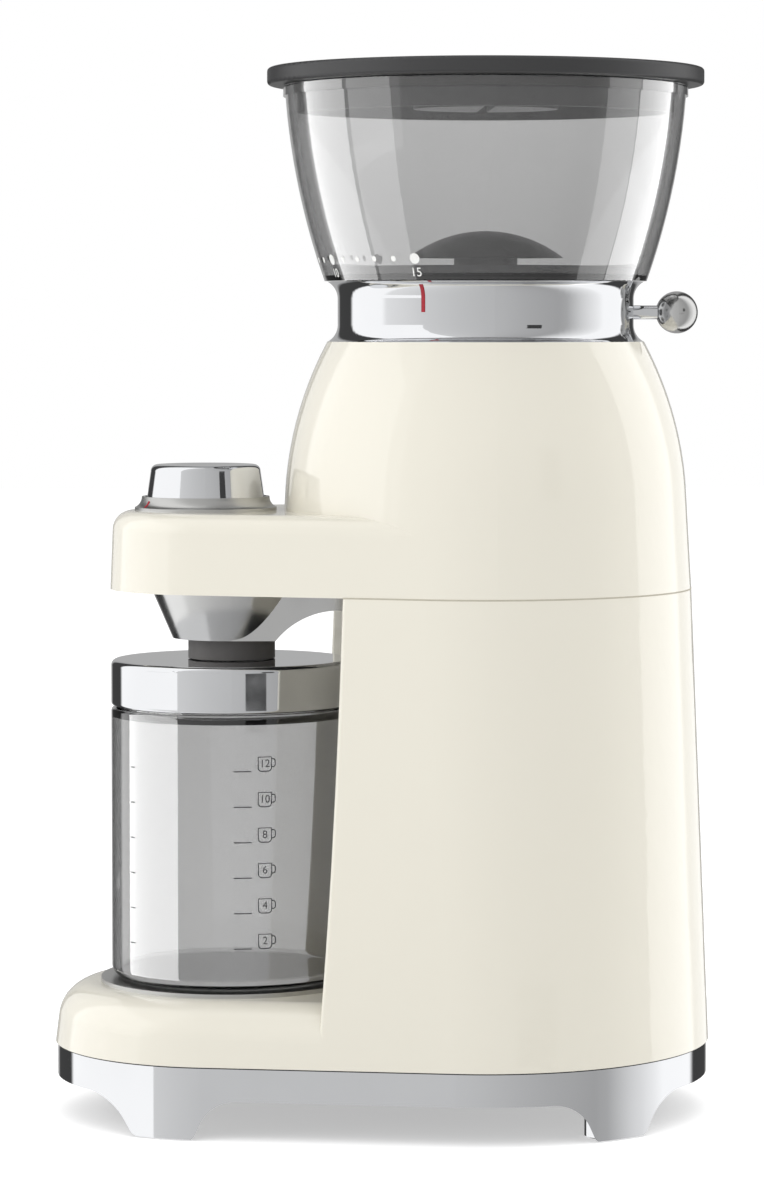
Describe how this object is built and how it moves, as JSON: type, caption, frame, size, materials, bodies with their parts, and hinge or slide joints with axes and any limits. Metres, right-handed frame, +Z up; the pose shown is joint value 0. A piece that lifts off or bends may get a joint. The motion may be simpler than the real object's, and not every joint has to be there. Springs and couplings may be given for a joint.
{
  "type": "burr coffee grinder",
  "caption": "Countertop conical burr coffee grinder with a clear bean hopper on top, a forward arm with a dial and a spout over a capped jar, and an arched plated base.",
  "frame": {"origin": "middle of the bounding box at the plane the rubber feet stand on", "axes": "+Z up, -Y to the front where the arm, dial and jar are, +X to the right of someone who faces its front"},
  "size_m": [0.1736, 0.2538, 0.4039],
  "materials": {
    "cream_enamel": "gloss enamel over moulded ABS",
    "chrome_plate": "bright polished plate",
    "spout_plate": "bright plated casting",
    "satin_aluminium": "satin anodised",
    "smoked_clear": "clear, smoke tinted",
    "jar_clear": "clear, lightly tinted",
    "dark_plastic": "fine moulded grain",
    "grey_rubber": "soft matt",
    "black_rubber": "soft matt",
    "inner_plastic": "plain moulded",
    "nylon": "natural moulded",
    "burr_steel": "ground",
    "screw_steel": "zinc plated",
    "motor_steel": "plated",
    "magnet": "sintered",
    "bronze": "sintered",
    "chassis_aluminium": "mill",
    "board": "solder mask"
  },
  "bodies": {
    "housing": {"lower_shell": "cream_enamel", "upper_shell": "cream_enamel", "arm_underplate": "inner_plastic", "base_frame": "chrome_plate", "base_screws": "screw_steel", "foot_pads": "black_rubber", "base_plate": "inner_plastic", "cord_gland": "inner_plastic", "jar_seat": "satin_aluminium", "spout": "spout_plate", "spout_gasket": "grey_rubber", "chute": "inner_plastic", "neck_collar": "chrome_plate", "collar_screws": "screw_steel", "shaft_bushes": "bronze", "shaft_seal": "black_rubber", "burr_chamber": "inner_plastic", "chassis_plate": "chassis_aluminium", "chassis_posts": "chassis_aluminium", "chassis_screws": "screw_steel", "motor_screws": "screw_steel", "gear_case": "inner_plastic", "idler_pin": "burr_steel", "motor_can": "motor_steel", "motor_magnets": "magnet", "motor_end_cap": "inner_plastic", "knob_bezel": "satin_aluminium", "encoder": "inner_plastic", "control_board": "board"},
    "adjuster": {"adjuster_ring": "inner_plastic"},
    "hopper": {"hopper_bowl": "smoked_clear", "hopper_base": "dark_plastic", "bean_guard": "dark_plastic"},
    "lid": {"hopper_lid": "dark_plastic", "lid_seal": "grey_rubber"},
    "carrier": {"burr_carrier": "inner_plastic", "ring_burr": "burr_steel"},
    "lock": {"lock_ring": "inner_plastic", "lever_rod": "chrome_plate", "lever_ball": "chrome_plate"},
    "rotor": {"motor_rotor": "motor_steel", "motor_pinion": "bronze"},
    "idler": {"idler_gear": "nylon"},
    "burr_drive": {"cone_burr": "burr_steel", "burr_shaft": "burr_steel", "burr_nut": "burr_steel", "sweeper": "inner_plastic", "output_gear": "nylon"},
    "dial": {"encoder_rotor": "inner_plastic"},
    "knob": {"knob": "chrome_plate", "encoder_shaft": "burr_steel"},
    "jar": {"jar": "jar_clear"},
    "cap": {"jar_cap": "chrome_plate", "cap_seal": "grey_rubber"}
  },
  "joints": [
    {"name": "grind_setting", "type": "hinge", "parent": "housing", "child": "adjuster", "pos_m": [0, 0.0401, 0.3], "axis": [0, 0, 1], "range_deg": [0, 112]},
    {"name": "hopper_lift", "type": "slide", "parent": "adjuster", "child": "hopper", "axis": [0, 0, 1], "range_m": [0, 0.06]},
    {"name": "lid_lift", "type": "slide", "parent": "hopper", "child": "lid", "axis": [0, 0, 1], "range_m": [0, 0.05]},
    {"name": "burr_feed", "type": "slide", "parent": "adjuster", "child": "carrier", "axis": [0, 0, 1], "range_m": [-0.0005, 0.0001]},
    {"name": "lock_lever", "type": "hinge", "parent": "housing", "child": "lock", "pos_m": [0, 0.0401, 0.3097], "axis": [0, 0, 1], "range_deg": [0, 35]},
    {"name": "motor_spin", "type": "hinge", "parent": "housing", "child": "rotor", "pos_m": [0, 0.0751, 0.18], "axis": [0, 0, 1], "continuous": true},
    {"name": "idler_spin", "type": "hinge", "parent": "housing", "child": "idler", "pos_m": [0.02738, 0.05853, 0.216], "axis": [0, 0, 1], "continuous": true},
    {"name": "burr_spin", "type": "hinge", "parent": "housing", "child": "burr_drive", "pos_m": [0, 0.0401, 0.25], "axis": [0, 0, 1], "continuous": true},
    {"name": "dial_turn", "type": "hinge", "parent": "housing", "child": "dial", "pos_m": [0, -0.0684, 0.23], "axis": [0, 0, 1], "continuous": true},
    {"name": "knob_press", "type": "slide", "parent": "dial", "child": "knob", "axis": [0, 0, -1], "range_m": [0, 0.0015], "stiffness_N_per_m": 800, "springref_m": -0.004},
    {"name": "jar_pull", "type": "slide", "parent": "housing", "child": "jar", "axis": [0, -1, 0], "range_m": [0, 0.13]},
    {"name": "cap_twist", "type": "hinge", "parent": "jar", "child": "cap", "pos_m": [0, -0.0585, 0.165], "axis": [0, 0, 1], "range_deg": [0, 90]}
  ],
  "couplings": [
    {"joint": "burr_feed", "follows": "grind_setting", "m_per_rad": -0.00023873},
    {"joint": "idler_spin", "follows": "motor_spin", "ratio": -0.23077},
    {"joint": "burr_spin", "follows": "motor_spin", "ratio": 0.06213}
  ]
}
